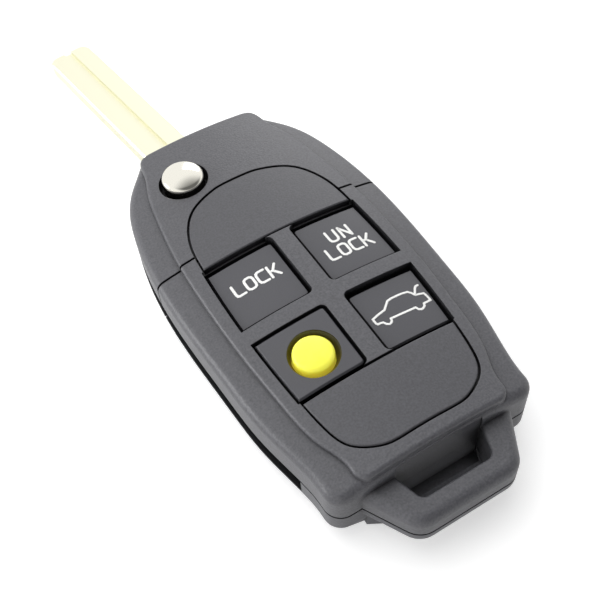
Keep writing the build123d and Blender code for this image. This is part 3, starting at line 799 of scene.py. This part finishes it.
@dataclass
class Keys:
    """Key caps, the yellow dome and the printed legends.

    Attributes:
        letter: width and height of a capital in millimetres.
        pitch: step from capital to capital in millimetres.
        upper_pitch: the same in the upper line on the second cap.
        lock_at: foot of the word on the first cap.
        upper_at: foot of the upper line on the second cap.
        lower_at: foot of the lower line on the second cap.
        line: width of the car's strokes in millimetres.
        car: side view of a car, nose to the left, from the nose over the roof and back.
        lid: raised boot lid.
        caps: CAD nodes of the three key caps and of the pad round the dome.
        yellow_cap: yellow dome in the fourth pad.
    """

    letter: Point = (1.32, 2.05)
    pitch: float = 1.88
    upper_pitch: float = 2.1
    lock_at: Point = (-10.25, 6.98)
    upper_at: Point = (5.5, 7.85)
    lower_at: Point = (3.78, 4.92)
    line: float = 0.33
    car: Stroke = field(default_factory=lambda: [
        (2.8, -6.85), (2.8, -6.5), (3.8, -6.22), (5.0, -5.98), (5.55, -5.5), (6.2, -4.92),
        (6.85, -4.8), (8.45, -4.79), (9.45, -4.95), (9.8, -5.33), (10.1, -5.9),
        (10.7, -6.02), (11.3, -6.2), (11.4, -6.9), (11.4, -7.58), (10.25, -7.65),
        (10.1, -8.0), (9.75, -8.26), (9.37, -8.32), (9.05, -8.12), (8.87, -7.7),
        (4.96, -7.58), (4.85, -7.95), (4.6, -8.18), (4.3, -8.24), (3.94, -8.02),
        (3.74, -7.61), (3.35, -7.51), (2.95, -7.5), (2.8, -7.25), (2.8, -6.85)])
    lid: Stroke = field(default_factory=lambda: [
        (10.07, -5.8), (10.8, -4.8), (11.05, -4.62), (11.4, -4.61)])
    caps: tuple[str, ...] = ("lock_button", "unlock_button", "trunk_button",
                             "yellow_button_pad")
    yellow_cap: TurnedCap = field(default_factory=lambda: TurnedCap(
        "yellow_button_cap", "yellow_button", "yellow_key", Finish.YELLOW,
        radius=2.82, top=14.42, crown=0.22, edge=0.6,
        foot=[(0.0, 10.52), (3.5, 10.52), (3.5, 11.22), (2.82, 11.22)]))

    def dress(self, dresser: Dresser) -> None:
        """Lays the finishes on the caps and prints their legends."""
        for node in self.caps:
            dresser.dress(node, Finish.KEYS)
        self.yellow_cap.build(dresser)
        lower = word("LOCK", self.lower_at, self.letter, self.pitch)
        upper = word("UN", self.upper_at, self.letter, self.upper_pitch)
        first = word("LOCK", self.lock_at, self.letter, self.pitch)
        Legend("lock_legend", "lock_button", "lock_key", first).build(dresser)
        Legend("unlock_legend", "unlock_button", "unlock_key", upper + lower).build(dresser)
        Legend("boot_legend", "trunk_button", "trunk_key", [self.car, self.lid],
               width=self.line).build(dresser)


@dataclass(frozen=True)
class Softbox:
    """Square lamp aimed at the key.

    Attributes:
        name: name of the lamp.
        place: place in metres.
        size: side of the square in metres.
        power: power in watts.
        mirrored: whether gloss and metal show the lamp.
    """

    name: str
    place: Place
    size: float
    power: float
    mirrored: bool = False

    def build(self) -> None:
        """Hangs the lamp and aims it at the key."""
        light = bpy.data.lights.new(self.name, "AREA")
        light.size = self.size
        light.energy = self.power
        lamp = bpy.data.objects.new(self.name, light)
        lamp.location = self.place
        lamp.visible_glossy = self.mirrored
        lamp.rotation_euler = (-Vector(self.place)).to_track_quat("-Z", "Y").to_euler()
        bpy.context.scene.collection.objects.link(lamp)


@dataclass
class Studio:
    """Pale floor, soft lamps and the camera of the photograph.

    Attributes:
        eye: camera's place in millimetres.
        right: camera's right-hand direction.
        down: direction that runs down the picture.
        ahead: viewing direction.
        lens_mm: focal length in millimetres.
        sensor_mm: width of the sensor in millimetres.
        clip_m: nearest thing that the camera sees, in metres.
        dim_way: direction of the room's dim corner, above and before the key.
        dim_level: strength of the room in that corner, where white is one.
        dim_edge: cosine of the angle from dim_way at which the room is white again.
        dim_core: cosine of the angle inside which the room is dimmest.
        paper: sRGB hex of the floor.
        floor_reach: distance from the key to the floor's edge in metres.
        floor_drop: gap under the key in millimetres, so that no two faces share a plane.
        floor_near: reach in millimetres within which light from below passes the paper.
        floor_lift: light that the paper gives to the eye, so that it reads as white.
        floor_gloss_lift: the same for a mirrored view of the paper.
        softboxes: lamps.
    """

    eye: Place = (-36.46, -63.30, 110.44)
    right: Place = (0.8558, -0.5145, -0.0539)
    down: Place = (-0.4405, -0.6702, -0.5973)
    ahead: Place = (0.2712, 0.5349, -0.8002)
    lens_mm: float = 54.0
    sensor_mm: float = 36.0
    clip_m: float = 0.001
    dim_way: Place = (0.25, -0.60, 0.76)
    dim_level: float = 0.14
    dim_edge: float = 0.36
    dim_core: float = 0.9
    paper: str = "e6e6e6"
    floor_reach: float = 3.0
    floor_drop: float = 0.03
    floor_near: float = 0.5
    floor_lift: float = 0.47
    floor_gloss_lift: float = 0.1
    softboxes: tuple[Softbox, ...] = (
        Softbox("overhead softbox", (-0.10, 0.10, 0.60), 0.45, 1.2),
        Softbox("far softbox", (-0.15, 0.70, 0.50), 0.90, 2.0),
        Softbox("left softbox", (-0.70, 0.38, 0.20), 0.40, 2.0, mirrored=True),
        Softbox("right softbox", (0.48, 0.70, 0.36), 0.40, 0.8, mirrored=True),
    )

    def build(self) -> None:
        """Makes the floor, the world, the lamps and the camera."""
        self.floor()
        self.world()
        for softbox in self.softboxes:
            softbox.build()
        self.camera()

    def floor(self) -> None:
        """Wide pale floor that is white to the eye and keeps the shadow."""
        reach, low = self.floor_reach, -self.floor_drop * MM
        corners = ((-reach, -reach), (reach, -reach), (reach, reach), (-reach, reach))
        floor = new_piece("floor", [Vector((x, y, low)) for x, y in corners], [(0, 1, 2, 3)])
        material, tree = new_tree("Paper, matt white")
        paper = add_node(tree, "ShaderNodeBsdfDiffuse", {"Color": linear(self.paper)})
        rays = add_node(tree, "ShaderNodeLightPath")
        gloss = add_node(tree, "ShaderNodeMath",
                         {"operation": "MULTIPLY", 1: self.floor_gloss_lift},
                         {0: rays.outputs["Is Glossy Ray"]})
        lift = add_node(tree, "ShaderNodeMath",
                        {"operation": "MULTIPLY_ADD", 1: self.floor_lift},
                        {0: rays.outputs["Is Camera Ray"], 2: gloss.outputs[0]})
        glow = add_node(tree, "ShaderNodeEmission", None, {"Strength": lift.outputs[0]})
        both = add_node(tree, "ShaderNodeAddShader", None,
                        {0: paper.outputs[0], 1: glow.outputs[0]})
        clear = add_node(tree, "ShaderNodeBsdfTransparent")
        face = add_node(tree, "ShaderNodeNewGeometry")
        # Light from below reaches the faces that stand on the paper, so that the underside
        # isn't black where it is looked at from below
        near = add_node(tree, "ShaderNodeMath",
                        {"operation": "LESS_THAN", 1: self.floor_near * MM},
                        {0: rays.outputs["Ray Length"]})
        through = add_node(tree, "ShaderNodeMath", {"operation": "MAXIMUM"},
                           {0: near.outputs[0], 1: face.outputs["Backfacing"]})
        one_sided = add_node(tree, "ShaderNodeMixShader", None,
                             {0: through.outputs[0], 1: both.outputs[0],
                              2: clear.outputs[0]})
        add_node(tree, "ShaderNodeOutputMaterial", None, {"Surface": one_sided.outputs[0]})
        floor.data.materials.append(material)
        floor.visible_shadow = False

    def world(self) -> None:
        """White room whose far and side walls are bright and whose near corner is dim."""
        world = bpy.data.worlds.new("white room")
        world.use_nodes = True
        bpy.context.scene.world = world
        world.node_tree.nodes.clear()
        tree = world.node_tree
        rays = add_node(tree, "ShaderNodeLightPath")
        place = add_node(tree, "ShaderNodeTexCoord")
        facing = add_node(
            tree, "ShaderNodeVectorMath",
            {"operation": "DOT_PRODUCT", 1: Vector(self.dim_way).normalized()},
            {0: place.outputs["Generated"]})
        shaded = add_node(tree, "ShaderNodeMapRange",
                          {"From Min": self.dim_edge, "From Max": self.dim_core, "To Min": 1.0,
                           "To Max": self.dim_level, "interpolation_type": "SMOOTHSTEP"},
                          {0: facing.outputs["Value"]})
        level = add_node(tree, "ShaderNodeMath", {"operation": "MAXIMUM"},
                         {0: rays.outputs["Is Camera Ray"], 1: shaded.outputs[0]})
        room = add_node(tree, "ShaderNodeBackground", {"Color": linear("ffffff")},
                        {"Strength": level.outputs[0]})
        add_node(tree, "ShaderNodeOutputWorld", None, {"Surface": room.outputs["Background"]})

    def camera(self) -> None:
        """Camera at the photograph's place and angle."""
        lens = bpy.data.cameras.new("camera")
        lens.lens = self.lens_mm
        lens.sensor_width = self.sensor_mm
        lens.clip_start = self.clip_m
        camera = bpy.data.objects.new("camera", lens)
        bpy.context.scene.collection.objects.link(camera)
        axes = Matrix((self.right, [-v for v in self.down], [-v for v in self.ahead]))
        camera.matrix_world = (
            Matrix.Translation(Vector(self.eye) * MM) @ axes.transposed().to_4x4())
        bpy.context.scene.camera = camera
        bpy.context.scene.view_settings.view_transform = "Standard"


def main() -> None:
    """Builds the studio and dresses the key, one sub-assembly after the other."""
    logging.basicConfig(level=logging.INFO, format="%(message)s")
    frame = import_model()
    dresser = Dresser(frame)
    Housing().dress(dresser)
    Works().dress(dresser)
    Keys().dress(dresser)
    Studio().build()


if __name__ == "__main__":
    main()
